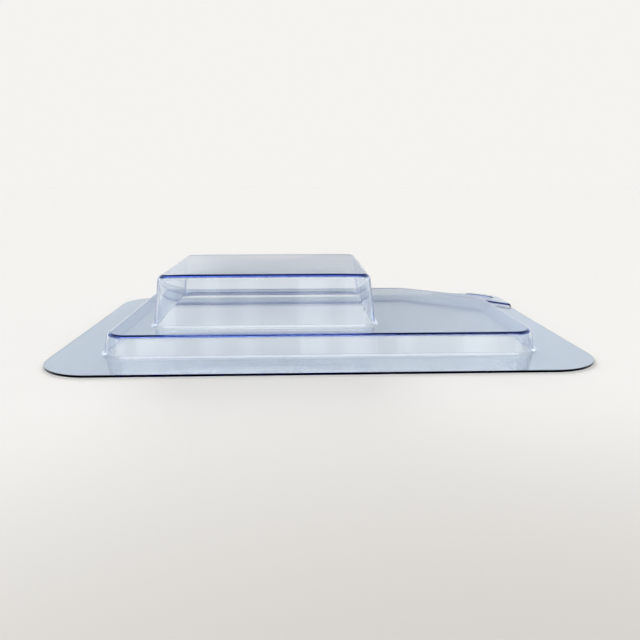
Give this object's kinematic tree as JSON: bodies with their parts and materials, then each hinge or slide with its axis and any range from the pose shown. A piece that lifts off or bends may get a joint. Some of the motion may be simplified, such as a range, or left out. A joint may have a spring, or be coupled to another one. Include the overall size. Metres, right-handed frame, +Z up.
{
  "type": "medical blister tray",
  "caption": "Clear formed plastic tray with a shallow step, a deep pocket and a raised peel corner, lying on its flange with its hollow side down.",
  "frame": {"origin": "on the table, under the middle of the tray", "axes": "+X along the tray, +Y to its back edge, +Z up from the table"},
  "size_m": [0.18, 0.125, 0.0266],
  "materials": {
    "clear_sheet": "clear, glossy, with a faint blue tint"
  },
  "bodies": {
    "root": {"tray": "clear_sheet"}
  },
  "joints": []
}
